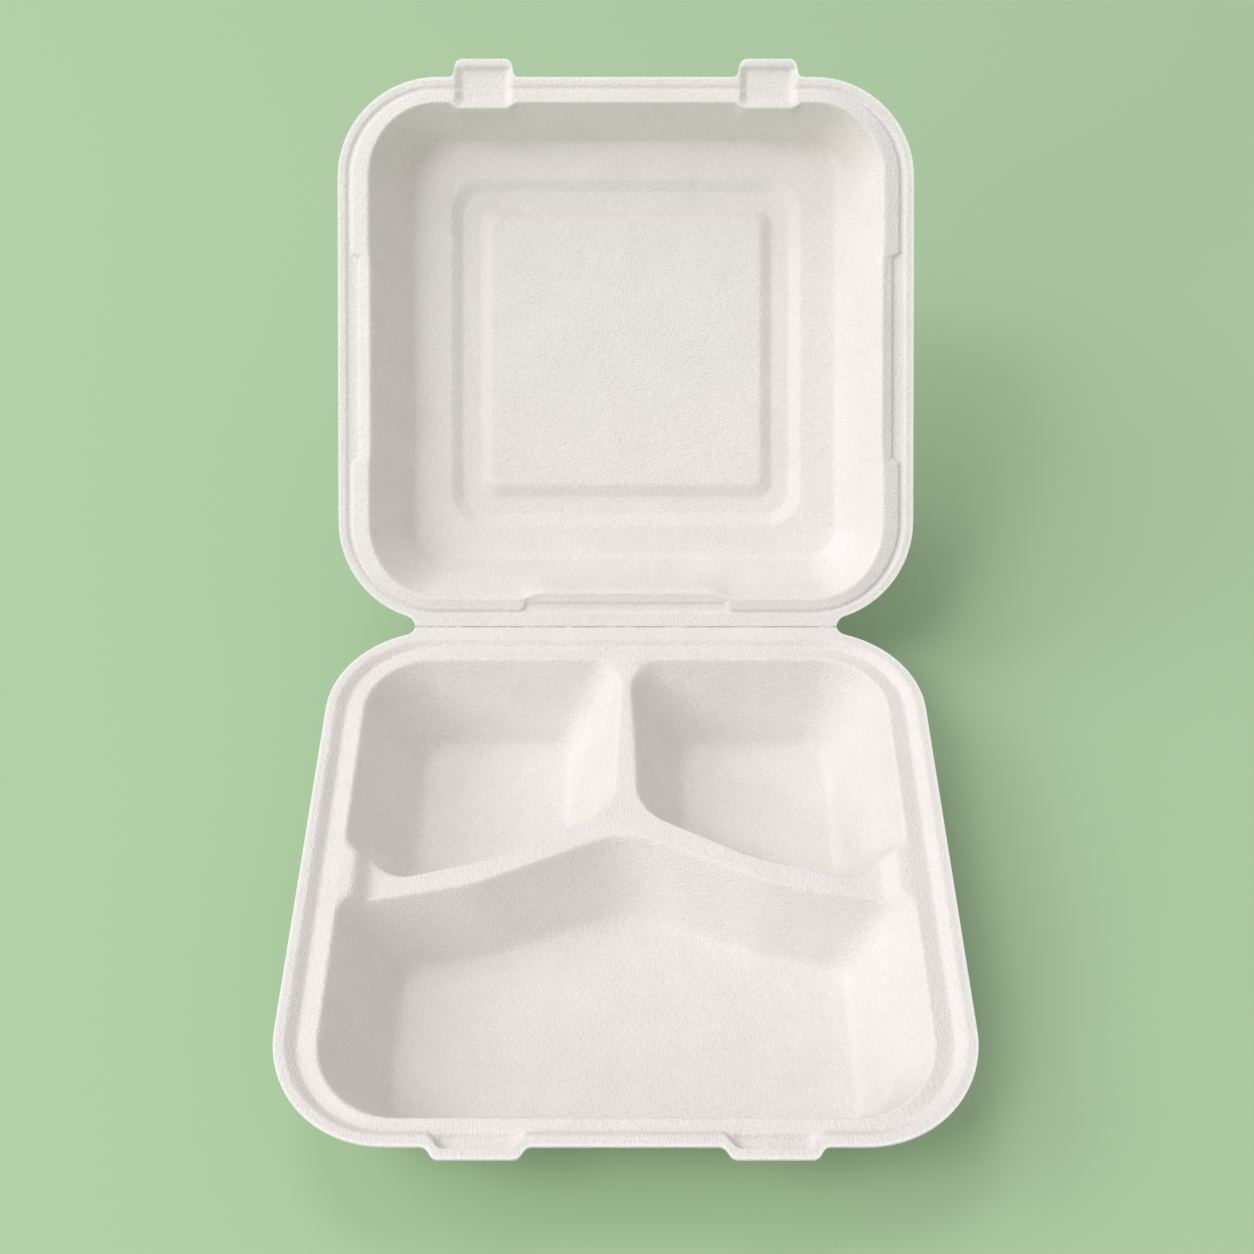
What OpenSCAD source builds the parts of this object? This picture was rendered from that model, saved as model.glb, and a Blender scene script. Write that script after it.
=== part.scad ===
// Three-compartment clamshell food container, moulded from cane pulp.
// The base tray and the lid are one moulded sheet that folds at a crease.
// They are two nodes only because the lid swings. The lid stands open here.

/* [Overall size] */
// Outer width of the base and of the lid
body_w = 230; // [215:1:245]
// Depth of each half without the narrow strip at the crease
body_d = 217; // [205:1:230]
// Height of the base from the table to its rim
base_h = 40; // [34:1:46]
// Depth of the lid from its rim to its flat top
lid_h = 26; // [22:1:30]
// Radius of the outer corners seen from above
corner_r = 40; // [34:1:46]
// Angle between the lid's rim and the horizontal as it stands open
lid_lean = 43.5; // [20:0.5:60]

/* [Sheet] */
// Thickness of the moulded sheet in the base
base_t = 1.1; // [0.9:0.05:1.3]
// Thickness of the moulded sheet in the lid
lid_t = 0.7; // [0.55:0.05:0.8]

/* [Crease] */
// Length of the crease strip along the back
crease_w = 169; // [150:1:172]
// Strip between the crease and the rear edge of each half
neck = 2.2; // [1.8:0.1:2.6]
// Gap between the two rims when the lid is shut
shut_gap = 0.3; // [0.2:0.05:0.5]
// Radius of the fine roll that the sheet forms at the crease
roll_r = 0.5; // [0.4:0.05:0.6]
// Clearance between that roll and the lid's edge
roll_gap = 0.08; // [0.05:0.01:0.12]

/* [Base rim] */
// Width of the flat outer flange
flange_w = 2.7; // [2.2:0.1:3.2]
// Horizontal run of the step inside the flange
step_run = 2.7; // [2.2:0.1:3.2]
// Drop from the flange to the shoulder
step_drop = 2.6; // [2.4:0.1:3]
// Shoulder's inner edge from the outer edge at the sides
side_land = 12.7; // [12:0.1:14]
// Shoulder's inner edge from the rear edge
rear_land = 14.3; // [13.5:0.1:16]
// Shoulder's inner edge from the front edge
front_land = 9.7; // [9:0.1:11]

/* [Compartments] */
// Drop from the shoulder to the top of the dividers
divider_drop = 4.9; // [4:0.1:6]
// Distance from the crease to the divider's front peak
peak_u = 96; // [92:1:100]
// Run of the outer side walls from shoulder to floor
side_run = 22; // [19:0.5:24]
// Run of the rear and front walls from shoulder to floor
end_run = 13; // [11:0.5:15]
// Run of the walls beside the middle divider
mid_run = 21; // [18:0.5:23]

/* [Lid form] */
// Rise of the lid's ridge above its flange
ridge_h = 1.5; // [1.2:0.1:1.8]
// Depth of the groove between flange and ridge
groove_d = 0.8; // [0.6:0.1:1]
// Width of the lid's flat flange outside the groove
groove_in = 3; // [2.6:0.1:3.4]
// Horizontal run of the groove's outer slope
groove_run = 1.7; // [1.4:0.1:1.9]
// Inset of the foot of the lid's ridge from the outer edge
ridge_in = 5.2; // [4.8:0.1:5.6]
// Horizontal run of the ridge's outer slope
ridge_run = 3; // [2.6:0.1:3.2]
// Shift of the ridge over the middle of the sides and back
relief_in = 3.5; // [2.5:0.1:4]
// Depth of the square ring pressed in the lid's top
ring_d = 2.5; // [1.5:0.1:3]
// Half width of that ring at its outer edge
ring_w = 71.5; // [66:0.5:74]
// Width of the ring band between its two slopes
ring_band = 8; // [7:0.5:10]

/* [Tabs] */
// Centre of each lid tab from the middle
lid_tab_x = 56.8; // [50:0.2:60]
// Reach of the lid tabs beyond the front edge
lid_tab_l = 7.2; // [5:0.1:9]
// Centre of each base tab from the middle
base_tab_x = 46.5; // [42:0.5:52]
// Reach of the base tabs beyond the front edge
base_tab_l = 4.2; // [3:0.1:5]
// Width of the tabs at their tips
tab_w = 23.5; // [20:0.5:26]

/* [Hidden] */
$fn = 64;
eps = 0.01;
half_w = body_w / 2;
near_u = neck;
far_u = neck + body_d;
axis_h = shut_gap / 2;
shoulder_z = -step_drop;
divider_z = shoulder_z - divider_drop;
base_floor = base_t - base_h;
lid_floor = lid_t - lid_h;
side_x = half_w - side_land;
rear_u = near_u + rear_land;
front_u = far_u - front_land;
floor_x = side_x - side_run;
hinge_y = (peak_u + 15 + front_u - end_run) / 2;
arc_n = 5;
gentle_r = 50;
below = 6;

// Points on the rounded corner p between its neighbours a and b
function bend(a, p, b, r, n = arc_n) =
    let (da = (a - p) / norm(a - p),
         db = (b - p) / norm(b - p),
         half = acos(da * db) / 2,
         c = p + (da + db) / norm(da + db) * r / sin(half),
         s = p + da * r / tan(half) - c,
         turn = (da.x * db.y - da.y * db.x > 0 ? -1 : 1) * (180 - 2 * half),
         start = atan2(s.y, s.x))
    [for (i = [0:n]) c + r * [cos(start + turn * i / n), sin(start + turn * i / n)]];

// Rounded outline through corners given as [x, u, radius], gentle bends with fewer points
function outline(v, n = arc_n) =
    let (m = len(v))
    [for (i = [0:m - 1])
        let (a = v[(i + m - 1) % m], p = v[i], b = v[(i + 1) % m])
        each bend([a.x, a.y], [p.x, p.y], [b.x, b.y], p.z, p.z >= gentle_r ? 1 : n)];

// Rounded rectangle as corners for outline()
function box_corners(x, u0, u1, r0, r1) =
    [[-x, u0, r0], [x, u0, r0], [x, u1, r1], [-x, u1, r1]];

// Outward direction at point i of outline p
function outward(p, i) =
    let (m = len(p), d = p[(i + 1) % m] - p[(i + m - 1) % m])
    [d.y, -d.x] / norm(d);

// Soft bend of the wall between two straight runs, as [share, height]
function soft(a, c, b, n = 3) =
    [for (i = [0:n]) let (t = i / n) a * (1 - t) * (1 - t) + c * 2 * t * (1 - t) + b * t * t];

// Wall section from floor to lip as [share of the run, height], bottom first
function wall(floor_z, top_z, foot = 0.16, lip = 0.1) =
    concat(soft([1 + foot * 0.8, floor_z], [1, floor_z], [1 - foot, floor_z + foot * (top_z - floor_z)]),
           soft([lip, top_z - lip * (top_z - floor_z)], [0, top_z], [-lip * 0.9, top_z]));

// The same section moved out by the sheet's thickness
function thickened(w, t, run = 15) =
    let (m = len(w))
    [for (i = [0:m - 1])
        let (a = w[max(i - 1, 0)], b = w[min(i + 1, m - 1)],
             d = [(a[0] - b[0]) * run, b[1] - a[1]],
             e = (i == 0 || i == m - 1) ? [1, 0] : d / norm(d))
        [w[i][0], w[i][1] - t * e.x, t * e.y]];

// Closed form between a top and a bottom outline along a wall section
module form(top, bottom, section) {
    m = len(top);
    k = len(section);
    rings = [for (q = section)
        let (ring = [for (i = [0:m - 1]) top[i] + (bottom[i] - top[i]) * q[0]],
             out = len(q) > 2 ? q[2] : 0)
        [for (i = [0:m - 1]) let (p = ring[i] + outward(ring, i) * out) [p.x, p.y, q[1]]]];
    sides = [for (r = [0:k - 2]) for (i = [0:m - 1])
        let (j = (i + 1) % m)
        each [[r * m + i, r * m + m + i, r * m + m + j], [r * m + i, r * m + m + j, r * m + j]]];
    floor_face = [[for (i = [0:m - 1]) i]];
    top_face = [[for (i = [0:m - 1]) k * m - 1 - i]];
    polyhedron([for (ring = rings) each ring], concat(sides, floor_face, top_face));
}

// Hollow of a compartment, open upwards
module hollow(top, bottom, section) {
    lip = section[len(section) - 1];
    form(top, bottom, concat(section, [[lip[0], lip[1] + below]]));
}

// Outside of the same compartment, ending inside the rim's sheet
module outside(top, bottom, section, t) {
    shell = thickened(section, t);
    lip = shell[len(shell) - 1];
    form(top, bottom, concat(shell, [[lip[0], lip[1] + t / 2, lip[2]]]));
}

// Rounded slab whose edge slopes between two insets, with true round corners
module slab(in0, z0, in1, z1, u0 = near_u, u1 = far_u, x = half_w, r = corner_r) {
    cx = x - r;
    for (sx = [-1, 1])
        for (cu = [u0 + r, u1 - r])
            translate([sx * cx, cu, z0])
                cylinder(h = z1 - z0, r1 = r - in0, r2 = r - in1);
    translate([-cx, 0, 0])
        rotate([90, 0, 90])
            linear_extrude(height = 2 * cx)
                polygon([[u0 + in0, z0], [u1 - in0, z0], [u1 - in1, z1], [u0 + in1, z1]]);
    translate([0, u1 - r, 0])
        rotate([90, 0, 0])
            linear_extrude(height = u1 - u0 - 2 * r)
                polygon([[in0 - x, z0], [x - in0, z0], [x - in1, z1], [in1 - x, z1]]);
}

// Flange outline of a tab, wider where it leaves the rim
module tab_plate(x, reach, root, tip, z0, z1, grow = 0) {
    for (sx = [-1, 1])
        translate([sx * x, 0, z0])
            linear_extrude(height = z1 - z0)
                polygon([[-root / 2 - grow, far_u - 3], [root / 2 + grow, far_u - 3],
                         [root / 2 + grow, far_u + grow], [tip / 2 + grow, far_u + reach - 1.5 + grow],
                         [tip / 2 - 1.5 + grow, far_u + reach + grow],
                         [-tip / 2 + 1.5 - grow, far_u + reach + grow],
                         [-tip / 2 - grow, far_u + reach - 1.5 + grow], [-root / 2 - grow, far_u + grow]]);
}

// Strip that joins the rim to the crease
module crease_strip(z0, z1, grow = 0) {
    translate([-crease_w / 2 - grow, roll_gap - grow, z0])
        cube([crease_w + 2 * grow, neck + corner_r / 4, z1 - z0]);
}

// Everything below the base rim's upper side
module base_rim_under(grow = 0) {
    difference() {
        union() {
            slab(-grow, -below, -grow, 0);
            crease_strip(-below, 0, grow);
            tab_plate(base_tab_x, base_tab_l, tab_w + 6, tab_w + 1.5, -below, 0, grow);
        }
        slab(flange_w + step_run, shoulder_z, flange_w - step_run / step_drop, 1);
        base_tab_pockets(grow * base_t * 0.8);
    }
}

// Small hollows behind the base tabs, between flange and shoulder
module base_tab_pockets(g = 0) {
    w = tab_w + 3 + 2 * g;
    floor_z = shoulder_z - 1.9;
    for (sx = [-1, 1])
        translate([sx * base_tab_x - w / 2, 0, 0])
            rotate([90, 0, 90])
                linear_extrude(height = w)
                    polygon([[far_u + 0.1 + g, 0.5], [far_u - 1.8 + g, floor_z], [far_u - 6 - g, floor_z],
                             [far_u - 7.4 - g, shoulder_z + 0.1], [far_u - 7.4 - g, 0.5]]);
}

function rear_top() =
    outline([[0.9, rear_u, 11], [side_x, rear_u, 24], [side_x, peak_u + 6.5, 8],
             [side_x - 16.5, peak_u + 22, 14], [45, peak_u + 11.5, 60], [0.9, peak_u - 11, 16]]);

function rear_bottom() =
    outline([[mid_run + 1, rear_u + end_run, 7], [floor_x, rear_u + end_run, 10],
             [floor_x, peak_u - 5, 8], [floor_x - 9, peak_u + 8, 10],
             [46, peak_u + 0.5, 60], [mid_run + 1, peak_u - 13, 9]]);

function front_top() =
    outline([[0, peak_u - 4.5, 30], [55, peak_u + 20, 60], [side_x, peak_u + 29, 10],
             [side_x, front_u, 24], [-side_x, front_u, 24], [-side_x, peak_u + 29, 10],
             [-55, peak_u + 20, 60]]);

function front_bottom() =
    outline([[0, peak_u + 13, 30], [50, peak_u + 32, 60], [floor_x, peak_u + 37.5, 10],
             [floor_x, front_u - end_run, 12], [-floor_x, front_u - end_run, 12],
             [-floor_x, peak_u + 37.5, 10], [-50, peak_u + 32, 60]]);

function saddle_top() =
    outline(box_corners(side_x - 3.8, rear_u + 3, front_u - 20, 12, 12), 3);

function saddle_bottom() =
    outline(box_corners(side_x - 9, rear_u + 8, front_u - 25, 10, 10), 3);

// Base in its own frame: crease at u = 0, rim at z = 0, inside upwards
module base_half() {
    deep = wall(base_floor, shoulder_z);
    low = wall(divider_z, shoulder_z, 0.35, 0.35);
    difference() {
        union() {
            difference() {
                base_rim_under();
                translate([0, 0, -base_t])
                    base_rim_under(1);
            }
            outside(front_top(), front_bottom(), deep, base_t);
            for (side = [0, 1])
                mirror([side, 0, 0])
                    outside(rear_top(), rear_bottom(), deep, base_t);
            outside(saddle_top(), saddle_bottom(), low, base_t);
        }
        hollow(front_top(), front_bottom(), deep);
        for (side = [0, 1])
            mirror([side, 0, 0])
                hollow(rear_top(), rear_bottom(), deep);
        hollow(saddle_top(), saddle_bottom(), low);
    }
}

// Ridge cut back over the middle of the sides and of the hinge edge
module ridge_relief(g = 0) {
    depth = ridge_h + groove_d;
    side_l = far_u * 0.37 + 2 * g;
    back_l = body_w * 0.35 + 2 * g;
    for (side = [0, 1])
        mirror([side, 0, 0])
            translate([0, far_u * 0.675 + g, 0])
                rotate([90, 0, 0])
                    linear_extrude(height = side_l)
                        polygon([[half_w - 2, -groove_d], [half_w - ridge_in - relief_in - g, -groove_d],
                                 [half_w - ridge_in - relief_in - 1.2 - g, depth], [half_w - 2, depth]]);
    translate([-back_l / 2, 0, 0])
        rotate([90, 0, 90])
            linear_extrude(height = back_l)
                polygon([[near_u + 2, -groove_d], [near_u + ridge_in + relief_in - 0.5 + g, -groove_d],
                         [near_u + ridge_in + relief_in + 0.7 + g, depth], [near_u + 2, depth]]);
}

// Pockets of the lid tabs, across groove and ridge
module lid_tab_pockets(g = 0) {
    w = tab_w - 3 + 2 * g;
    tip_u = far_u + lid_tab_l;
    for (sx = [-1, 1])
        translate([sx * lid_tab_x - w / 2, 0, 0])
            rotate([90, 0, 90])
                linear_extrude(height = w)
                    polygon([[tip_u - 3.2 + g, 0.5], [tip_u - 4.2 + g, -2], [far_u - 8.6 - g, -2],
                             [far_u - 9.6 - g, ridge_h + 0.5], [far_u - 5, ridge_h + 0.5]]);
}

// Everything below the lid rim's upper side
module lid_rim_under(grow = 0) {
    g = grow * lid_t * 0.8;
    root = ridge_run / (ridge_h + groove_d);
    difference() {
        union() {
            difference() {
                union() {
                    slab(-grow, -below, -grow, 0);
                    crease_strip(-below, 0, grow);
                    tab_plate(lid_tab_x, lid_tab_l, tab_w + 1.5, tab_w - 0.8, -below, 0, grow);
                }
                slab(groove_in + groove_run, -groove_d, groove_in - groove_run / groove_d * 0.5, 0.5);
            }
            difference() {
                slab(ridge_in - root, -groove_d - 1, ridge_in + ridge_run, ridge_h);
                ridge_relief(g);
            }
        }
        lid_tab_pockets(g);
    }
}

function lid_top() =
    outline(box_corners(half_w - 12.3, near_u + 11.3, far_u - 11.6, 27, 27), 7);

function lid_bottom() =
    outline(box_corners(half_w - 27.5, near_u + 26, far_u - 18.6, 15, 15), 7);

// Lid in its own frame, laid flat open: crease at u = 0, inside upwards
module lid_half() {
    deep = wall(lid_floor, ridge_h, 0.2, 0.1);
    ring_u = 113.5 / 219.2 * far_u;
    ring_l = ring_w - 0.7;
    panel_w = ring_w - ring_band - 3.5;
    panel_l = ring_l - ring_band - 3.5;
    difference() {
        union() {
            difference() {
                union() {
                    difference() {
                        lid_rim_under();
                        translate([0, 0, -lid_t])
                            lid_rim_under(1);
                    }
                    outside(lid_top(), lid_bottom(), deep, lid_t);
                    slab(3.5 - lid_t * 0.7, lid_floor - ring_d - lid_t, 0 - lid_t * 0.7, lid_floor - lid_t / 2,
                         ring_u - ring_l, ring_u + ring_l, ring_w, 12);
                }
                hollow(lid_top(), lid_bottom(), deep);
                slab(3.5, lid_floor - ring_d, 0, lid_floor, ring_u - ring_l, ring_u + ring_l, ring_w, 12);
                slab(0, lid_floor - eps, 0, lid_floor + 1, ring_u - ring_l, ring_u + ring_l, ring_w, 12);
            }
            slab(0, lid_floor - ring_d - lid_t / 2, 3.5, lid_floor,
                 ring_u - panel_l, ring_u + panel_l, panel_w, 5.5);
        }
        slab(lid_t * 0.7, lid_floor - ring_d - lid_t - 1, lid_t * 0.7, lid_floor - ring_d - lid_t + eps,
             ring_u - panel_l, ring_u + panel_l, panel_w, 5.5);
        slab(lid_t * 0.7, lid_floor - ring_d - lid_t, 3.5 + lid_t * 0.7, lid_floor - lid_t,
             ring_u - panel_l, ring_u + panel_l, panel_w, 5.5);
    }
}

module base() {
    color("ivory")
        translate([0, hinge_y, base_h]) {
            mirror([0, 1, 0])
                base_half();
            translate([-crease_w / 2, 0, axis_h])
                rotate([0, 90, 0])
                    cylinder(h = crease_w, r = roll_r);
        }
}

module lid() {
    color("linen")
        translate([0, hinge_y, base_h + axis_h])
            rotate([lid_lean, 0, 0])
                difference() {
                    translate([0, 0, -axis_h])
                        lid_half();
                    translate([-crease_w / 2 - 1, 0, 0])
                        rotate([0, 90, 0])
                            cylinder(h = crease_w + 2, r = roll_r + roll_gap);
                }
}

base();
lid();
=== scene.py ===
"""Three-compartment takeaway box pressed from cane pulp, standing open on a table.

The base and the lid are pressed as one sheet. Each half is drawn in its own flat frame in millimetres:
x across, u from the crease, z up from the rim. It is then set in place on its side of the crease.
"""
import math

import bpy
import numpy as np
from mathutils import Matrix, Vector
from mathutils.geometry import delaunay_2d_cdt
from mathutils.kdtree import KDTree


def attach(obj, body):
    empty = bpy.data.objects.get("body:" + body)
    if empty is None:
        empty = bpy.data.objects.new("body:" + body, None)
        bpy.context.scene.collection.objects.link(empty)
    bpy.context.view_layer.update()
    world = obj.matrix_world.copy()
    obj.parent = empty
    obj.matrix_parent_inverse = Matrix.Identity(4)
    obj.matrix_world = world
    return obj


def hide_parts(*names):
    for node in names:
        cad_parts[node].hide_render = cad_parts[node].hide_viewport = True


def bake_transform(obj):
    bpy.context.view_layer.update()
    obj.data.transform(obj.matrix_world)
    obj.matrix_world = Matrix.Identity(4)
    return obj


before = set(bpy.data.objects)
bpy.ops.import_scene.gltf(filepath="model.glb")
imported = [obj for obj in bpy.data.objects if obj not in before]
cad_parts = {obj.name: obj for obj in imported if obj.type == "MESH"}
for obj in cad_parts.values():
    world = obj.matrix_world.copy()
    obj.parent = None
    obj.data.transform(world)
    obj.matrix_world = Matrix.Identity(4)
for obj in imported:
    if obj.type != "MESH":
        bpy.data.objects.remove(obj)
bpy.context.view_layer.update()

bpy.ops.object.select_all(action="DESELECT")

MM = 0.001
HALF_WIDTH = 115.0           # of the rim
NEAR, FAR = 2.2, 219.2       # edges of the rim, measured from the crease
CORNER = 40.0                # radius of the rim's corners
CREASE_Y, RIM_Z = 153.75, 40.0
CREASE_UP = 0.15             # the crease's axis above the base's rim
LEAN = math.radians(43.5)    # the open lid above the horizontal
CREASE_HALF = 84.5           # half the length of the crease
NECK_EDGE = 0.16             # where each half's sheet ends at the crease
NECK_BEND = 4.444            # radius between the crease and the rim's corner
BASE_SHEET, LID_SHEET, CREASE_SHEET = 1.1, 0.7, 0.5
BASE_TAB_X, LID_TAB_X = 46.5, 56.8

# Heights from the rim, the inside upwards
GROOVE, SHOULDER, DIVIDER, BASE_FLOOR, BASE_TAB_LOW = -2.7, -1.4, -7.0, -38.9, -4.1
CROWN, LID_FLOOR, RING_DEPTH, MOAT, LID_TAB_LOW = 1.5, -25.3, 3.1, -0.8, -2.0

WELL_EDGE = 1.8              # width over which the wells' top edges are rounded
STRAIGHT = 0.999             # an outward direction beyond this belongs to a straight side


# ---------------------------------------------------------------- drawing the lines of the mould

def soft_min(a, b, k):
    """The smaller height, the bend between the two rounded over the height k."""
    return np.minimum(a, b) - np.maximum(k - np.abs(a - b), 0) ** 2 / (4 * k)


def soft_max(a, b, k):
    return -soft_min(-a, -b, k)


def ease(t):
    """From 0 to 1 with a soft start and end."""
    t = np.clip(t, 0, 1)
    return t * t * (3 - 2 * t)


def section(places, heights, blend):
    """A cross-section through straight runs, its corners rounded over the width blend."""
    def height(d):
        spread = np.linspace(-0.5, 0.5, 9) * blend
        return np.mean([np.interp(np.asarray(d) + s, places, heights) for s in spread], axis=0)
    return height


def rounded(corners, counts=None, step=2.2):
    """Closed line through corners [x, u, radius], and how many points each bend and side has."""
    c = np.array(corners, float)
    m = len(c)
    bends = []
    for i in range(m):
        a, p, b, r = c[i - 1, :2], c[i, :2], c[(i + 1) % m, :2], c[i, 2]
        da = (a - p) / np.linalg.norm(a - p)
        db = (b - p) / np.linalg.norm(b - p)
        half = math.acos(max(-1, min(1, da @ db))) / 2
        centre = p + (da + db) / np.linalg.norm(da + db) * r / math.sin(half)
        start = p + da * r / math.tan(half) - centre
        turn = math.pi - 2 * half
        if da[0] * db[1] - da[1] * db[0] > 0:
            turn = -turn
        bends.append((centre, r, math.atan2(start[1], start[0]), turn))
    ends = [(z + r * np.array([math.cos(s), math.sin(s)]),
             z + r * np.array([math.cos(s + t), math.sin(s + t)])) for z, r, s, t in bends]
    if counts is None:
        counts = []
        for i, (z, r, s, t) in enumerate(bends):
            gap = np.linalg.norm(ends[(i + 1) % m][0] - ends[i][1])
            counts.append((max(4, round(abs(t) * r / step)), max(1, round(gap / step))))
    points = []
    for i, (z, r, s, t) in enumerate(bends):
        arc, side = counts[i]
        angles = s + t * np.arange(arc + 1) / arc
        points.extend(z + r * np.array([math.cos(a), math.sin(a)]) for a in angles)
        here, there = ends[i][1], ends[(i + 1) % m][0]
        points.extend(here + (there - here) * k / side for k in range(1, side))
    return np.array(points), counts


def tab_line(root, tip, length, root_r, tip_r):
    """Outline of a pull tab from one root to the other: x from its middle, v out from the rim's edge."""
    corners = np.array([[-root - 9, 0], [-root, 0], [-tip, length], [0, length]], float)
    half = []
    for i, r in ((1, root_r), (2, tip_r)):
        a, p, b = corners[i - 1], corners[i], corners[i + 1]
        da, db = (a - p) / np.linalg.norm(a - p), (b - p) / np.linalg.norm(b - p)
        opening = math.acos(da @ db) / 2
        centre = p + (da + db) / np.linalg.norm(da + db) * r / math.sin(opening)
        first, last = p + da * r / math.tan(opening), p + db * r / math.tan(opening)
        for t in np.linspace(0, 1, 8):
            way = (first - centre) * (1 - t) + (last - centre) * t
            half.append(centre + way / np.linalg.norm(way) * r)
    flat = [(x, length) for x in np.arange(half[-1][0] + 0.8, -0.4, 0.8)]
    half = np.vstack([half, flat])
    return np.vstack([half, half[::-1] * (-1, 1)])


def edge_with_tabs(path, out, middle, tab):
    """The rim's cut edge, from one end of the crease's strip to the other, with its two tabs."""
    kept = ~((out[:, 1] < -0.05) & (np.abs(path[:, 0]) < 87.6))
    first = int(np.argmax(kept & ~np.roll(kept, 1)))
    line, placed = [], set()
    for i in np.roll(np.arange(len(path)), -first):
        side = 1 if path[i, 0] > 0 else -1
        if out[i, 1] > STRAIGHT and abs(abs(path[i, 0]) - middle) < tab[:, 0].max() + 0.2:
            if side not in placed:
                line.extend((side * middle - x, FAR + v) for x, v in tab)
                placed.add(side)
        elif kept[i]:
            line.append(tuple(path[i]))
    return line


def tab_dots(xs, middle, tab, rows):
    """Dots over the part of the tabs that stands out from the rim, in line with the rim's points."""
    ring = np.vstack([tab, [[tab[-1, 0], -2], [tab[0, 0], -2]]])
    dots = np.array([(x, v) for v in rows for x in xs])
    dots = dots[inside(dots, ring) & (reach(dots, ring) > 0.3)]
    return np.vstack([dots + (s * middle, FAR) for s in (-1, 1)])


def places(low, high, step, marks=()):
    """Places along a side: even steps, closer together round each mark (centre, reach, fine step)."""
    found = list(np.linspace(low, high, max(2, round((high - low) / step) + 1)))
    for centre, reach, fine in marks:
        found = [f for f in found if abs(f - centre) > reach + fine / 2]
        found.extend(np.linspace(centre - reach, centre + reach, round(2 * reach / fine) + 1))
    return np.array(sorted(found))


def rim_path(near_marks, side_marks, far_marks, step=2.4, bend_points=26):
    """Outer edge of the rim without tabs: points and the directions that point outwards."""
    cx, low, high = HALF_WIDTH - CORNER, NEAR + CORNER, FAR - CORNER
    points, outwards = [], []

    def side(xs, us, out):
        for x, u in zip(xs, us):
            points.append((x, u))
            outwards.append(out)

    def bend(x, u, start):
        for i in range(1, bend_points):
            a = start + math.pi / 2 * i / bend_points
            out = (math.cos(a), math.sin(a))
            points.append((x + CORNER * out[0], u + CORNER * out[1]))
            outwards.append(out)

    xs, us = places(-cx, cx, step, near_marks), places(low, high, step, side_marks)
    side(xs, [NEAR] * len(xs), (0, -1))
    bend(cx, low, -math.pi / 2)
    side([HALF_WIDTH] * len(us), us, (1, 0))
    bend(cx, high, 0)
    xs = places(-cx, cx, step, far_marks)[::-1]
    side(xs, [FAR] * len(xs), (0, 1))
    bend(-cx, high, math.pi / 2)
    side([-HALF_WIDTH] * len(us), us[::-1], (-1, 0))
    bend(-cx, low, math.pi)
    return np.array(points), np.array(outwards)


def neck_line(edge):
    """Outer edge of the strip at the crease, from the left corner's bend to the right one's."""
    r = NECK_BEND
    centre_x = CREASE_HALF + r
    arc = [(centre_x - r * math.cos(a), r * math.sin(a))
           for a in np.linspace(math.radians(71.6), 0.0, 9)]
    arc = [(x, u) for x, u in arc if u > edge + 0.25]
    corner = math.sqrt(max(r * r - edge * edge, 0))
    right = [(centre_x - corner, edge)] + arc[::-1]
    across = [(x, edge) for x in np.linspace(-(centre_x - corner), centre_x - corner, 72)[1:-1]]
    return [(-x, u) for x, u in right[::-1]] + across + right


class Blank:
    """A flat blank of pulp: lines and dots, each with the height that it is pressed to."""

    def __init__(self):
        self.xy, self.z, self.edges = [], [], []

    def line(self, xy, z):
        """A closed line, kept as edges of the mesh."""
        first = len(self.xy)
        self.xy.extend(map(tuple, xy))
        self.z.extend(np.broadcast_to(z, len(xy)))
        n = len(xy)
        self.edges.extend((first + i, first + (i + 1) % n) for i in range(n))

    def dots(self, xy, z):
        self.xy.extend(map(tuple, xy))
        self.z.extend(np.broadcast_to(z, len(xy)))

    def press(self, name, place, upside=False):
        """The blank as a mesh, each point set at its height and then in place by the matrix given."""
        points = [Vector(p) for p in self.xy]
        flat, _, faces, from_points, _, _ = delaunay_2d_cdt(points, self.edges, [], 1, 1e-4)
        z = np.array([self.z[ids[0]] if ids else np.nan for ids in from_points])
        for i in np.flatnonzero(np.isnan(z)):
            gaps = [((flat[i] - flat[j]).length, j)
                    for f in faces if i in f for j in f if not np.isnan(z[j])]
            z[i] = z[min(gaps)[1]] if gaps else 0.0
        co = [place @ (Vector((p.x, p.y, h)) * MM) for p, h in zip(flat, z)]
        if upside:
            faces = [tuple(reversed(f)) for f in faces]
        mesh = bpy.data.meshes.new(name)
        mesh.from_pydata(co, [], faces)
        mesh.update()
        piece = bpy.data.objects.new(name, mesh)
        bpy.context.scene.collection.objects.link(piece)
        return piece


def inside(points, ring):
    """Which points lie inside a closed line."""
    x, y = points[:, 0][:, None], points[:, 1][:, None]
    ax, ay = ring[:, 0], ring[:, 1]
    bx, by = np.roll(ax, -1), np.roll(ay, -1)
    cross = (ay > y) != (by > y)
    with np.errstate(divide="ignore", invalid="ignore"):
        hit = x < (bx - ax) * (y - ay) / (by - ay) + ax
    return (cross & hit).sum(axis=1) % 2 == 1


def reach(points, ring):
    """How far each point lies from a closed line."""
    a, b = ring, np.roll(ring, -1, axis=0)
    d = b - a
    best = np.full(len(points), 1e9)
    for i in range(len(a)):
        w = points - a[i]
        t = np.clip((w @ d[i]) / max(d[i] @ d[i], 1e-12), 0, 1)
        best = np.minimum(best, np.linalg.norm(w - t[:, None] * d[i], axis=1))
    return best


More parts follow.
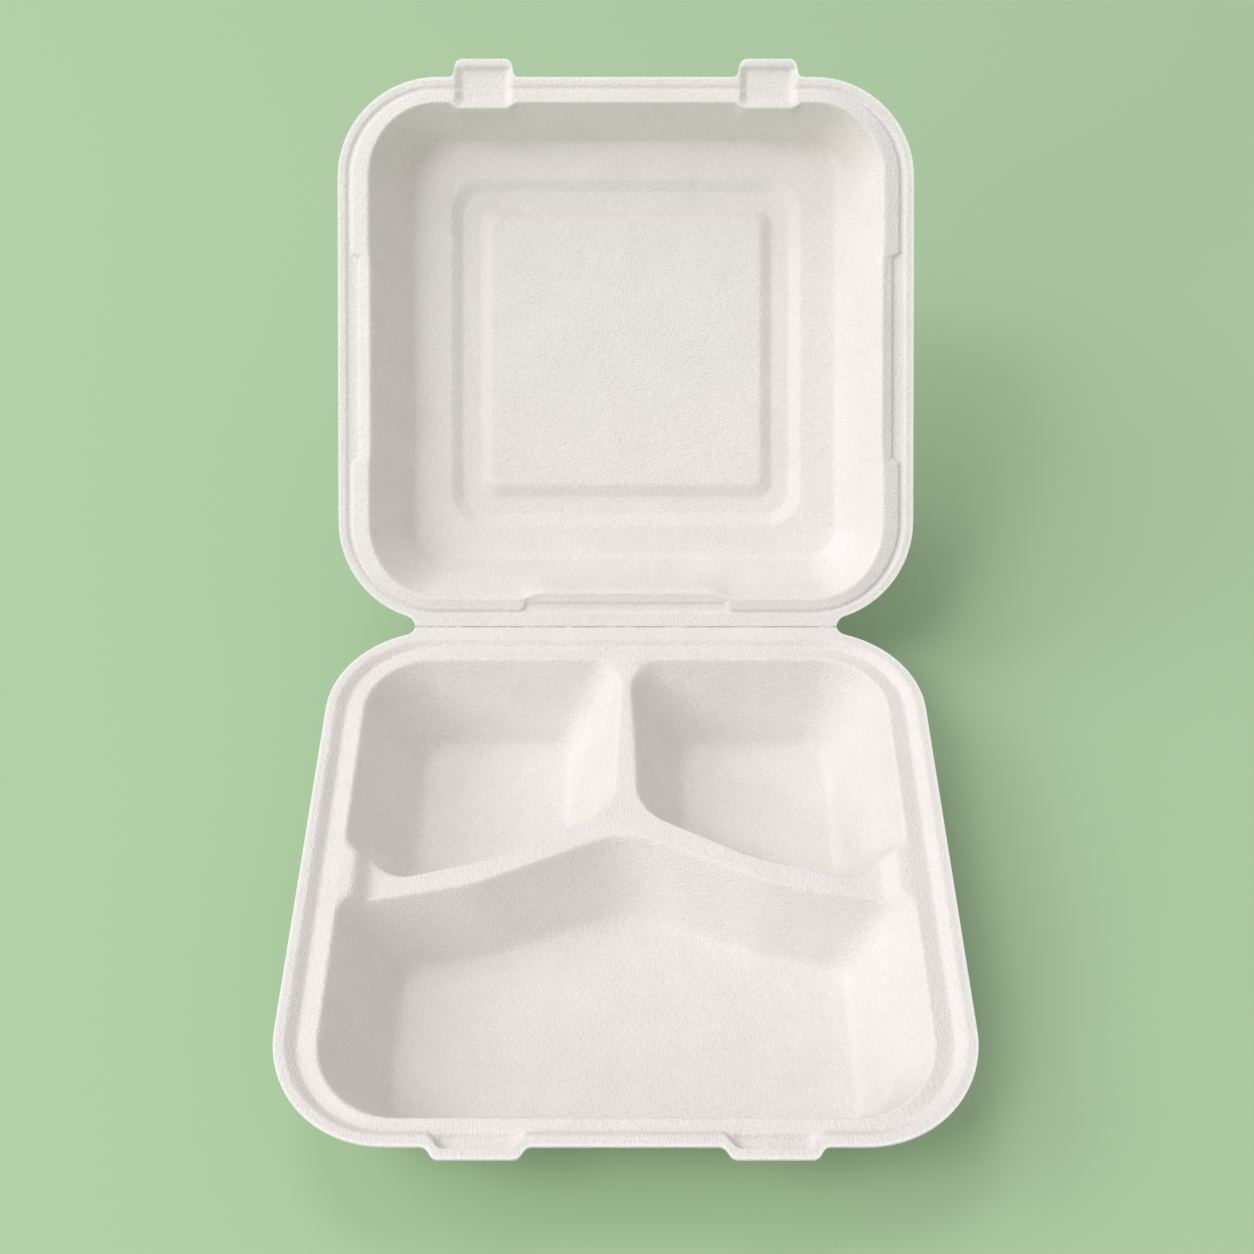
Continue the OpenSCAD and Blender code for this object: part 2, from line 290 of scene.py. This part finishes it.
def close_grid(x0, x1, u0, u1, step):
    """Dots in staggered rows."""
    rows = []
    for k, u in enumerate(np.arange(u0, u1, step * 0.866)):
        xs = np.arange(x0 + (step / 2 if k % 2 else 0), x1, step)
        rows.append(np.column_stack([xs, np.full(len(xs), u)]))
    return np.vstack(rows)


# ---------------------------------------------------------------- finishing

def cut_edge_finder(piece):
    """Finds the nearest point of the surface's open edge. The crease is no cut edge and is left out."""
    face_count = {}
    for face in piece.data.polygons:
        for key in face.edge_keys:
            face_count[key] = face_count.get(key, 0) + 1
    cut = []
    for (i, j), faces in face_count.items():
        a, b = piece.data.vertices[i].co.copy(), piece.data.vertices[j].co.copy()
        middle = (a + b) / 2
        at_crease = math.hypot(middle.y - CREASE_Y * MM, middle.z - RIM_Z * MM) < 1.2 * MM
        if faces == 1 and not at_crease:
            cut += [a.lerp(b, t) for t in np.arange(0, 1, min(1, 0.25 * MM / (b - a).length))]
    cut_line = KDTree(len(cut))
    for i, point in enumerate(cut):
        cut_line.insert(point, i)
    cut_line.balance()
    return cut_line


def finish_sheet(piece, thickness, material, body, node):
    """Gives the pressed surface its thickness, rounds the cut edge of the rim, and marks that edge for its
    paler tone and painted highlight.
    """
    cut_line = cut_edge_finder(piece)
    bpy.ops.object.select_all(action="DESELECT")
    bpy.context.view_layer.objects.active = piece
    piece.select_set(True)
    bpy.ops.object.mode_set(mode="EDIT")
    bpy.ops.mesh.select_all(action="SELECT")
    bpy.ops.mesh.tris_convert_to_quads(face_threshold=0.7, shape_threshold=0.9)
    bpy.ops.object.mode_set(mode="OBJECT")
    bpy.ops.object.modifier_add(type="SOLIDIFY")
    sheet = piece.modifiers[-1]
    sheet.thickness, sheet.offset = thickness * MM, -1
    sheet.use_even_offset, sheet.use_quality_normals = True, True
    bpy.ops.object.modifier_apply(modifier=sheet.name)
    bpy.ops.object.modifier_add(type="BEVEL")
    edge = piece.modifiers[-1]
    edge.width, edge.segments, edge.limit_method = 0.28 * MM, 2, "ANGLE"
    edge.angle_limit, edge.use_clamp_overlap = math.radians(62), True
    bpy.ops.object.modifier_apply(modifier=edge.name)
    bpy.ops.object.shade_smooth_by_angle(angle=math.radians(50))
    # how near each point lies to the cut edge; near it the colour is painted whiter, partly the cut's paler
    # fibre and partly a painted highlight along the rounded edge
    gaps = np.array([cut_line.find(v.co)[2] for v in piece.data.vertices]) / MM
    edge_paleness_and_highlight = piece.data.attributes.new("edge_paleness_and_highlight", "FLOAT", "POINT")
    edge_paleness_and_highlight.data.foreach_set("value", (1 - ease((gaps - 0.55) / 0.7)).astype(np.float32))
    piece.data.materials.append(material)
    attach(piece, body)
    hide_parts(node)
    piece.select_set(False)


def pulp(name, seed):
    """Warm white pulp: cloudy tone, fine grain, a few flecks, a felted surface, and a cut edge painted whiter,
    partly its paler fibre and partly a painted highlight.
    """
    material = bpy.data.materials.new(name)
    material.use_nodes = True
    nodes, links = material.node_tree.nodes, material.node_tree.links
    shader = nodes["Principled BSDF"]
    shader.inputs["Specular IOR Level"].default_value = 0.25

    def node(kind, **sockets):
        n = nodes.new(kind)
        for key, value in sockets.items():
            n.inputs[key.replace("_", " ")].default_value = value
        return n

    def join(a, out, b, into):
        links.new(a.outputs[out], b.inputs[into])

    where = nodes.new("ShaderNodeTexCoord")
    shift = node("ShaderNodeMapping", Location=(seed, seed * 0.37, 0))
    join(where, "Object", shift, "Vector")

    def noise_at(scale, detail, rough=0.55, stretch=None, turn=(0, 0, 0)):
        source = shift
        if stretch:
            source = node("ShaderNodeMapping", Scale=stretch, Rotation=turn)
            join(shift, "Vector", source, "Vector")
        n = node("ShaderNodeTexNoise", Scale=scale, Detail=detail, Roughness=rough)
        join(source, "Vector", n, "Vector")
        return n

    def ramp(source, out, low, high, a, b):
        r = node("ShaderNodeMapRange", From_Min=low, From_Max=high, To_Min=a, To_Max=b)
        join(source, out, r, "Value")
        return r

    def blend(factor, under, colour):
        """One colour over another, the share of the second given by a node."""
        n = nodes.new("ShaderNodeMix")
        n.data_type = "RGBA"
        links.new(factor.outputs[0], n.inputs[0])
        if hasattr(under, "outputs"):
            links.new(under.outputs[2], n.inputs[6])
        else:
            n.inputs[6].default_value = under
        n.inputs[7].default_value = colour
        return n

    clouds = ramp(noise_at(55, 3), "Fac", 0.3, 0.7, 0.0, 1.0)
    tone = blend(clouds, (0.832, 0.793, 0.766, 1), (0.872, 0.833, 0.808, 1))
    grain = ramp(noise_at(1300, 3, 0.6), "Fac", 0.35, 0.68, 0.0, 0.34)
    tone = blend(grain, tone, (0.715, 0.675, 0.64, 1))
    spots = node("ShaderNodeTexVoronoi", Scale=330, Randomness=1.0)
    join(shift, "Vector", spots, "Vector")
    few = ramp(noise_at(260, 1), "Fac", 0.57, 0.60, 0.0, 1.0)
    size = ramp(spots, "Distance", 0.04, 0.09, 0.5, 0.0)
    flecks = nodes.new("ShaderNodeMath")
    flecks.operation = "MULTIPLY"
    join(few, "Result", flecks, 0)
    join(size, "Result", flecks, 1)
    tone = blend(flecks, tone, (0.44, 0.38, 0.34, 1))
    # cut edge painted whiter: partly the paler fibre of the cut, partly a painted highlight along its rounded
    # edge
    cut = nodes.new("ShaderNodeAttribute")
    cut.attribute_name = "edge_paleness_and_highlight"
    paler_and_highlight = ramp(cut, "Fac", 0.0, 1.0, 0.0, 0.85)
    tone = blend(paler_and_highlight, tone, (0.93, 0.905, 0.895, 1))
    links.new(tone.outputs[2], shader.inputs["Base Color"])

    dull = ramp(noise_at(500, 3), "Fac", 0.3, 0.7, 0.82, 0.96)
    join(dull, "Result", shader, "Roughness")

    uneven = node("ShaderNodeBump", Strength=0.6, Distance=0.0004)
    join(noise_at(170, 3, 0.5), "Fac", uneven, "Height")
    along = node("ShaderNodeBump", Strength=1.0, Distance=0.00042)
    join(noise_at(1500, 3, 0.6, (1, 0.3, 0.6), (0, 0, 0.5)), "Fac", along, "Height")
    join(uneven, "Normal", along, "Normal")
    across = node("ShaderNodeBump", Strength=1.0, Distance=0.00042)
    join(noise_at(1500, 3, 0.6, (0.3, 1, 0.6), (0, 0, -0.4)), "Fac", across, "Height")
    join(along, "Normal", across, "Normal")
    join(across, "Normal", shader, "Normal")
    return material


# ---------------------------------------------------------------- the base

def base_blank():
    """The base: stepped rim with two tabs, and three wells between lowered dividers."""
    blank = Blank()
    tab = tab_line(15.9, 13.2, 4.2, 3.0, 3.0)
    tab_marks = [(s * (BASE_TAB_X + t * 13.2), 3.8, 0.45) for s in (-1, 1) for t in (-1, 1)]
    path, out = rim_path([], [], tab_marks)
    near, far = np.maximum(-out[:, 1], 0) ** 2, np.maximum(out[:, 1], 0) ** 2
    flank = out[:, 0] ** 2
    on_far = out[:, 1] > STRAIGHT
    off = np.abs(path[:, 0]) - BASE_TAB_X

    step = section([-9, 3.5, 6.6, 12.7, 20], [0, 0, GROOVE, SHOULDER, SHOULDER], 0.9)
    pocket_ends = section([-99, -13.8, -10.9, 10.9, 13.8, 99], [0, 0, 1, 1, 0, 0], 0.8)
    shoulder = section([-9, 6.4, 10.2, 20], [GROOVE, GROOVE, SHOULDER, SHOULDER], 0.6)
    pocket = section([-9, 4.5, 5.4, 6.4, 10.2, 20],
                     [BASE_TAB_LOW, BASE_TAB_LOW, -2.8, GROOVE, SHOULDER, SHOULDER], 0.5)
    drop = section([-9, 0, 1, 9], [0, 0, 1, 1], 0.35)

    def front_height(x, inset):
        """Height at the front edge, where the flange keeps its width round each tab's hollow."""
        hollow = pocket_ends(x)
        bend = ease((np.abs(x) - 10.6) / 5.4)
        low = GROOVE + (BASE_TAB_LOW - GROOVE) * hollow
        inner = shoulder(inset) + (pocket(inset) - shoulder(inset)) * hollow
        return inner - low * (1 - drop((inset + 0.6 - 4.3 * bend) / (0.9 + 1.8 * bend)))

    # outlines of the wells at the top and at the floor: [x, u, radius of the corner]
    side_x, floor_x, peak = 100.6, 80.3, 96.0
    right_top = [[0.9, 16, 12], [side_x, 16, 25.4], [side_x, peak + 6.5, 8],
                 [85.8, peak + 22, 14], [45, peak + 11.5, 60], [0.9, peak - 11, 22]]
    right_floor = [[22, 29.5, 7], [floor_x, 29.5, 10], [floor_x, peak - 5, 8],
                   [floor_x - 9, peak + 8, 10], [46, peak + 0.5, 60], [22, peak - 13, 9]]
    front_top = [[0, peak - 4.5, 30], [55, peak + 20, 60], [side_x, peak + 29, 10], [side_x, 208.9, 28],
                 [-side_x, 208.9, 28], [-side_x, peak + 29, 10], [-55, peak + 20, 60]]
    front_floor = [[0, peak + 13, 30], [50, peak + 32, 60], [floor_x, peak + 37.5, 10],
                   [floor_x, 196.5, 12], [-floor_x, 196.5, 12], [-floor_x, peak + 37.5, 10],
                   [-50, peak + 32, 60]]
    wells = []
    for top_corners, floor_corners, flip in ((right_top, right_floor, 1), (right_top, right_floor, -1),
                                             (front_top, front_floor, 1)):
        top, counts = rounded(top_corners)
        floor, _ = rounded(floor_corners, counts)
        wells.append((top * (flip, 1), floor * (flip, 1)))

    def land(xy):
        """Shoulder level, let down over the dividers. The middle one rises towards the crease."""
        qx = np.maximum(np.abs(xy[:, 0]) - 75.2, 0)
        qu = np.maximum(np.maximum(41.4 - xy[:, 1], xy[:, 1] - 183.5), 0)
        h = np.hypot(qx, qu)
        within, end = 25.4 - h, (qu / np.maximum(h, 1e-6)) ** 2
        rise = ease((10.0 - 6.2 * end - within) / (6.4 - 4.0 * end))
        divider = DIVIDER + 3.6 * ease((70 - xy[:, 1]) / 50)
        return divider + (SHOULDER - divider) * rise

    def over_edge(xy):
        """Height that the wells' walls would have if they ran on upwards past the shoulder."""
        return SHOULDER + np.min([reach(xy, top) for top, _ in wells], axis=0) * 1.9

    def ring(d):
        """A line of the rim and its heights. It lies about d inside the edge, side by side its own."""
        marks = [0, 3.5, 6.6, 12.7]
        inset = (near * np.interp(d, marks, [0, 4.4, 6.4, 13.7])
                 + flank * np.interp(d, marks, [0, 3.6, 7.3, 14.4])
                 + far * np.interp(d, marks, [0, 3.7, 6.4, 10.2]))
        z = np.full(len(path), float(step(d)))
        at_tab = on_far & (np.abs(off) < 18)
        z[at_tab] = front_height(off[at_tab], inset[at_tab])
        xy = path - out * inset[:, None]
        return xy, soft_min(z, over_edge(xy), WELL_EDGE) if d > 9 else z

    blank.line(neck_line(NECK_EDGE) + edge_with_tabs(path, out, BASE_TAB_X, tab), 0.0)
    for d in (0.45, 0.9, 1.4, 1.9, 2.4, 2.8, 3.2, 3.6, 4.1, 4.7, 5.3, 5.8, 6.2, 6.6, 7.1, 7.8, 8.8,
              10.0, 11.0, 11.7, 12.2):
        inner_ring, z = ring(d)
        blank.line(inner_ring, z)
    xs = np.unique(np.round(off[on_far & (np.abs(off) < 18) & (path[:, 0] > 0)], 3))
    dots = tab_dots(xs, BASE_TAB_X, tab, (-0.1, 0.15, 0.4, 0.7, 1.0, 1.5, 2.4, 3.3))
    blank.dots(dots, front_height(np.abs(dots[:, 0]) - BASE_TAB_X, FAR - dots[:, 1]))
    blank.dots(close_grid(-84, 84, 0.9, 2.0, 1.2), 0.0)

    # walls of the wells, from the top's outline a little way past the floor's
    depth = SHOULDER - BASE_FLOOR
    for top, floor in wells:
        for s in (0, .025, .05, .075, .10, .125, .15, .175, .20, .24, .30, .38, .48, .59, .70, .79,
                  .85, .90, .94, .98, 1.02, 1.07, 1.13):
            xy = top + (floor - top) * s
            z = soft_min(soft_max(SHOULDER - depth * s, BASE_FLOOR, 4.2), land(xy), WELL_EDGE)
            blank.line(xy, z)
        dots = close_grid(xy[:, 0].min(), xy[:, 0].max(), xy[:, 1].min(), xy[:, 1].max(), 5.0)
        dots = dots[inside(dots, xy)]
        dots = dots[reach(dots, xy) > 1.6]
        blank.dots(dots, BASE_FLOOR)

    # shoulder and dividers
    dots = close_grid(-104, 104, 10, 212, 1.3)
    dots = dots[inside(dots, inner_ring)]
    dots = dots[reach(dots, inner_ring) > 0.8]
    for top, _ in wells:
        dots = dots[~inside(dots, top)]
        dots = dots[reach(dots, top) > 0.7]
    blank.dots(dots, soft_min(over_edge(dots), land(dots), WELL_EDGE))
    return blank


# ---------------------------------------------------------------- the lid

def lid_blank():
    """The lid: ridged rim with two tabs, sloping wall, and a square ring pressed into its top."""
    blank = Blank()
    tab = tab_line(12.2, 11.0, 7.2, 2.3, 3.2)
    tab_marks = [(s * (LID_TAB_X + t * 10.4), 3.6, 0.4) for s in (-1, 1) for t in (-1, 1)]
    near_marks = [(-40.25, 1.6, 0.4), (40.25, 1.6, 0.4)]
    side_marks = [(66.9, 1.6, 0.4), (148.0, 1.6, 0.4)]
    path, out = rim_path(near_marks, side_marks, tab_marks)
    near, far = np.maximum(-out[:, 1], 0) ** 2, np.maximum(out[:, 1], 0) ** 2
    flank = out[:, 0] ** 2
    on_far, on_near, on_side = out[:, 1] > STRAIGHT, out[:, 1] < -STRAIGHT, flank > STRAIGHT
    off = np.abs(path[:, 0]) - LID_TAB_X
    pocket_ends = section([-99, -11.4, -8.6, 8.6, 11.4, 99], [0, 0, 1, 1, 0, 0], 1.0)
    hollow = np.where(on_far, pocket_ends(off), 0)
    tongue = np.where(on_far, ease((14.0 - np.abs(off)) / 5.0), 0)

    # reliefs: the ridge steps inwards along the middle of the sides and of the crease, with short
    # ends at the ridge and wider ones further down
    side_relief = np.where(on_side, ease(0.5 + (41.0 - np.abs(path[:, 1] - 107.4)) / 2.4), 0)
    side_wide = np.where(on_side, ease(0.5 + (40.0 - np.abs(path[:, 1] - 107.4)) / 7), 0)
    near_relief = np.where(on_near, ease(0.5 + (40.6 - np.abs(path[:, 0])) / 2.4), 0)
    near_wide = np.where(on_near, ease(0.5 + (38.5 - np.abs(path[:, 0])) / 10), 0)

    marks = [0, 3.0, 4.1, 5.0, 6.0, 11.6, 12.3]
    ridge = section([-9, *marks[1:6], 20], [0, 0, MOAT, MOAT, 0.35, CROWN, CROWN], 0.6)
    pocket = section([-9, -4.2, -3.1, 8.3, 12.0, 20],
                     [0, 0, LID_TAB_LOW, LID_TAB_LOW, CROWN, CROWN], 0.9)

    def inset_at(d, shaped=1.0):
        """How far inwards a line of the rim runs, with the reliefs and tabs or, at shaped 0, without."""
        inset = (near * np.interp(d, marks, [0, 3.1, 3.7, 3.9, 4.8, 8.8, 9.6])
                 + flank * np.interp(d, marks, [0, 3.0, 4.1, 5.1, 6.1, 11.9, 12.7])
                 + far * np.interp(d, marks, [0, 3.2, 4.2, 4.8, 5.7, 10.1, 10.7]))
        sides = np.interp(d, marks, [0, 3.0, 4.1, 8.0, 8.9, 12.6, 13.3])
        nears = np.interp(d, marks, [0, 3.1, 3.7, 6.9, 7.8, 11.2, 12.0])
        tabs = np.interp(d, [8.2, 12.3], [7.43, 13.0])
        spread = float(ease((d - 6.5) / 4.5))
        inset = inset + (sides - inset) * (side_relief + (side_wide - side_relief) * spread) * shaped
        inset = inset + (nears - inset) * (near_relief + (near_wide - near_relief) * spread) * shaped
        return inset + (tabs - inset) * tongue * shaped * (d > 8.2)

    def ring(d, shaped=1.0):
        """A line of the rim and its heights."""
        inset = inset_at(d, shaped)
        z = ridge(d) + (pocket(inset) - ridge(d)) * hollow
        return path - out * inset[:, None], z

    blank.line(neck_line(NECK_EDGE) + edge_with_tabs(path, out, LID_TAB_X, tab), 0.0)
    blank.dots(close_grid(-84, 84, 0.9, 2.0, 1.2), 0.0)
    for d in (0.5, 1.4, 2.2, 2.7, 3.0, 3.3, 3.7, 4.0, 4.3, 4.7, 5.0, 5.25, 5.5, 5.75, 6.0, 6.3, 6.8,
              7.6, 8.6, 10.0):
        xy, z = ring(d)
        blank.line(xy, z)
    xs = np.unique(np.round(off[on_far & (np.abs(off) < 16) & (path[:, 0] > 0)], 3))
    dots = tab_dots(xs, LID_TAB_X, tab, (0.1, 1.1, 2.1, 2.6, 3.0, 3.4, 3.8, 4.2, 4.6, 5.2, 6.0, 6.8))
    blank.dots(dots, pocket(FAR - dots[:, 1]) * pocket_ends(np.abs(dots[:, 0]) - LID_TAB_X))
    dots = np.array([(s * LID_TAB_X + x, FAR - v) for s in (-1, 1) for v in (10.6, 11.2, 11.8)
                     for x in xs[np.abs(xs) < 9.2]])
    blank.dots(dots, pocket(FAR - dots[:, 1]))

    # wall: from the crown's inner edge down to the floor
    top, plain_top = ring(12.3)[0], ring(12.3, 0.0)[0]

    def down(points):
        """Where the wall below each point of the crown meets the floor."""
        r = 13.0
        cx, low, high = 87.5 - r, 28.2 + r, 200.6 - r
        on_x = np.interp(points[:, 0], [-75, 75], [-cx, cx])
        on_u = np.interp(points[:, 1], [NEAR + CORNER, FAR - CORNER], [low, high])
        return np.column_stack([on_x, on_u]) + out * r

    floor = down(plain_top)
    depth = CROWN - LID_FLOOR
    for s in (-.07, -.045, -.02, .005, .03, .055, .08, .12, .18, .27, .38, .50, .62, .72, .80, .86,
              .91, .95, .99, 1.03, 1.08, 1.14):
        xy = plain_top + (floor - plain_top) * s + (top - plain_top) * (1 - ease(s / 0.55))
        z = soft_min(soft_max(CROWN - depth * s, LID_FLOOR, 3.0), CROWN, 1.3)
        blank.line(xy, z)
    wall_foot = xy

    # square ring and raised panel pressed into the top
    ring_u, half_x, half_u = 113.5, 71.5, 70.8
    drop = section([-0.8, 3.8, 11.2, 15.8, 60], [0, -RING_DEPTH, -RING_DEPTH, 0, 0], 1.0)
    squares = []
    for d in (-1.7, -1.1, -0.5, 0.2, 1.0, 1.9, 2.8, 3.5, 4.1, 4.7, 6.6, 8.6, 10.3, 10.9, 11.5, 12.1,
              12.9, 13.8, 14.7, 15.5, 16.1, 16.7):
        r = max(4.2, 12.5 - d * 0.62)
        x, half = half_x - d, half_u - d
        corners = [[-x, ring_u - half, r], [x, ring_u - half, r], [x, ring_u + half, r], [-x, ring_u + half, r]]
        square, _ = rounded(corners, [(9, 62)] * 4)
        blank.line(square, LID_FLOOR + drop(d))
        squares.append(square)
    outside_ring, panel = squares[0], squares[-1]
    dots = close_grid(-60, 60, 50, 175, 5.0)
    dots = dots[inside(dots, panel)]
    blank.dots(dots[reach(dots, panel) > 1.8], LID_FLOOR)
    dots = close_grid(-90, 90, 25, 203, 3.2)
    dots = dots[inside(dots, wall_foot) & ~inside(dots, outside_ring)]
    dots = dots[(reach(dots, wall_foot) > 1.4) & (reach(dots, outside_ring) > 1.4)]
    blank.dots(dots, LID_FLOOR)
    return blank


# ---------------------------------------------------------------- the crease

def crease_web(material):
    """The thin folded strip that joins the two halves, sunk a little between their edges."""
    bpy.ops.object.select_all(action="DESELECT")
    columns, rows = 240, 14
    bpy.ops.mesh.primitive_grid_add(x_subdivisions=columns, y_subdivisions=rows, size=2)
    web = bpy.context.object
    web.name = "crease_web"
    web.data.name = "crease_web"
    across = [-1.5, -1.1, -0.8, -0.55, -0.38, -0.24, -0.12, 0, 0.12, 0.24, 0.38, 0.55, 0.8, 1.1, 1.5]
    uneven = np.random.default_rng(7)
    # places where the fold is filled by loose fibres: x and half length
    bits = [(uneven.uniform(-82, 82), uneven.uniform(0.5, 2.4)) for _ in range(34)]
    for v in web.data.vertices:
        x = v.co.x * (CREASE_HALF - 0.35)
        s = across[int(round((v.co.y + 1) / 2 * rows))]
        filled = max(float(ease((half - abs(x - at)) / 0.5)) for at, half in bits)
        sunk = 0.06 + 0.74 * (1 - 0.75 * filled) * float(ease(1 - abs(s) / 0.5))
        turn = LEAN * float(ease((s + 0.4) / 0.8))
        low = sunk + CREASE_UP
        v.co = Vector((x, CREASE_Y + s * math.cos(turn) + low * math.sin(turn),
                       RIM_Z + CREASE_UP + s * math.sin(turn) - low * math.cos(turn))) * MM
    bpy.ops.object.modifier_add(type="SOLIDIFY")
    sheet = web.modifiers[-1]
    sheet.thickness, sheet.offset = CREASE_SHEET * MM, -1
    bpy.ops.object.modifier_apply(modifier=sheet.name)
    bpy.ops.object.shade_smooth_by_angle(angle=math.radians(50))
    web.data.materials.append(material)
    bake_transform(web)
    web.select_set(False)


# ---------------------------------------------------------------- making the pieces

base_pulp = pulp("pulp_base", 0.0)
lid_pulp = pulp("pulp_lid", 0.31)

base_place = Matrix.Translation((0, CREASE_Y * MM, RIM_Z * MM)) @ Matrix.Scale(-1, 4, (0, 1, 0))
lid_place = (Matrix.Translation((0, CREASE_Y * MM, (RIM_Z + CREASE_UP) * MM)) @ Matrix.Rotation(LEAN, 4, "X")
             @ Matrix.Translation((0, 0, -CREASE_UP * MM)))

base_tray = base_blank().press("base_tray", base_place, upside=True)
finish_sheet(base_tray, BASE_SHEET, base_pulp, "base", "base")
lid_tray = lid_blank().press("lid_tray", lid_place)
finish_sheet(lid_tray, LID_SHEET, lid_pulp, "lid", "lid")
crease_web(base_pulp)

# ---------------------------------------------------------------- table, camera and light

bpy.ops.mesh.primitive_plane_add(size=6, location=(0, 0.5, -0.0002))
table = bpy.context.object
table.name = "table"
table_paint = bpy.data.materials.new("table_paint")
table_paint.use_nodes = True
paint = table_paint.node_tree.nodes["Principled BSDF"]
paint.inputs["Base Color"].default_value = (0.400, 0.570, 0.348, 1)
paint.inputs["Roughness"].default_value = 0.9
table.data.materials.append(table_paint)

PITCH = math.radians(47.37)
AIM = Vector((0.45, CREASE_Y, RIM_Z))
AWAY = 660.3
LENS_PIXELS, PICTURE_PIXELS, SENSOR = 1648.3, 1254, 36

ahead = Vector((0, math.cos(PITCH), -math.sin(PITCH)))
lens_data = bpy.data.cameras.new("camera")
lens_data.sensor_width = SENSOR
lens_data.lens = LENS_PIXELS / PICTURE_PIXELS * SENSOR
camera = bpy.data.objects.new("camera", lens_data)
camera.location = (AIM - ahead * AWAY) * MM
camera.rotation_mode = "QUATERNION"
camera.rotation_quaternion = ahead.to_track_quat("-Z", "Y")
bpy.context.scene.collection.objects.link(camera)
bpy.context.scene.camera = camera

# square softboxes, all as far from the box: name, direction and power
LIGHT_CENTRE = Vector((0, 0.12, 0.05))
LIGHT_AWAY, LIGHT_SIZE = 4, 1.4
SOFTBOXES = (
    ("top_light", (-0.45, -0.35, 0.82), 36.0),
    ("front_light", (-0.65, -0.65, 0.39), 22.0),
    ("side_light", (-0.6, 0.0, 0.8), 7.0),
    ("low_light", (-0.8, -0.1, 0.59), 21.0),
    ("back_light", (-0.2, 0.35, 0.91), 19.5),
    ("far_light", (-0.75, 0.25, 0.6), 13.0),
)
for name, way, power in SOFTBOXES:
    data = bpy.data.lights.new(name, "AREA")
    data.shape, data.size, data.energy = "SQUARE", LIGHT_SIZE, power
    lamp = bpy.data.objects.new(name, data)
    lamp.location = LIGHT_CENTRE + Vector(way).normalized() * LIGHT_AWAY
    lamp.rotation_mode = "QUATERNION"
    lamp.rotation_quaternion = (LIGHT_CENTRE - lamp.location).to_track_quat("-Z", "Y")
    bpy.context.scene.collection.objects.link(lamp)

world = bpy.data.worlds.new("studio")
world.use_nodes = True
surround = world.node_tree.nodes["Background"]
surround.inputs["Color"].default_value = (1, 1, 1, 1)
surround.inputs["Strength"].default_value = 0.56
bpy.context.scene.world = world
bpy.context.scene.view_settings.view_transform = "Standard"
